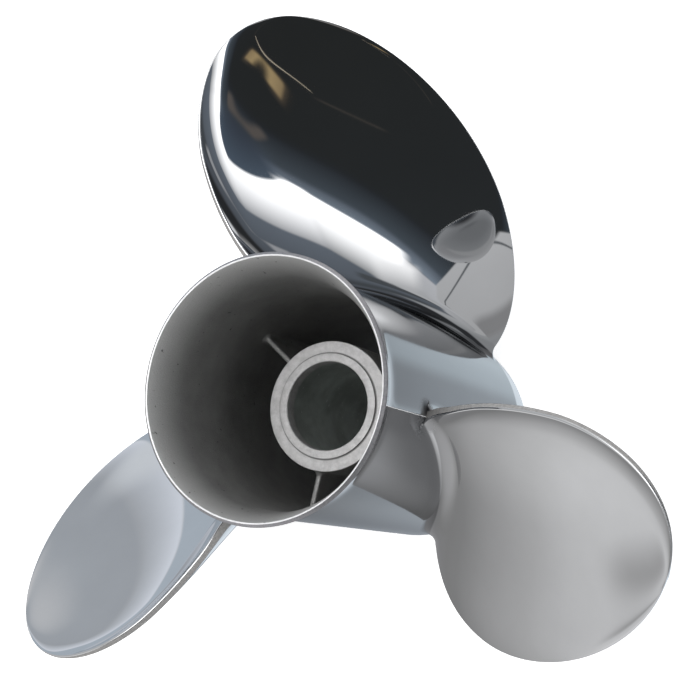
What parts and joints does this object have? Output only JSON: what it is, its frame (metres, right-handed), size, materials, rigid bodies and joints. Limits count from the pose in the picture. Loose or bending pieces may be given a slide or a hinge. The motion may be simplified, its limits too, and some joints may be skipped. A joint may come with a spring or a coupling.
{
  "type": "through-hub-exhaust boat propeller",
  "caption": "Right-hand polished stainless boat propeller with broad raked blades on a flared exhaust barrel around a ribbed inner hub.",
  "frame": {"origin": "the shaft axis in the plane of the barrel's front rim, which the part stands on", "axes": "+Z along the shaft axis, aft, out of the exhaust outlet; +Y through the middle of the first blade's root"},
  "size_m": [0.323, 0.3241, 0.1928],
  "materials": {
    "polished_stainless": "mirror polished",
    "machined_stainless": "machined, matte",
    "cast_stainless": "as cast, matte"
  },
  "bodies": {
    "root": {"exhaust_barrel": "polished_stainless", "inner_hub": "machined_stainless", "rib_1": "cast_stainless", "rib_2": "cast_stainless", "rib_3": "cast_stainless", "blade_1": "polished_stainless", "blade_2": "polished_stainless", "blade_3": "polished_stainless"}
  },
  "joints": []
}
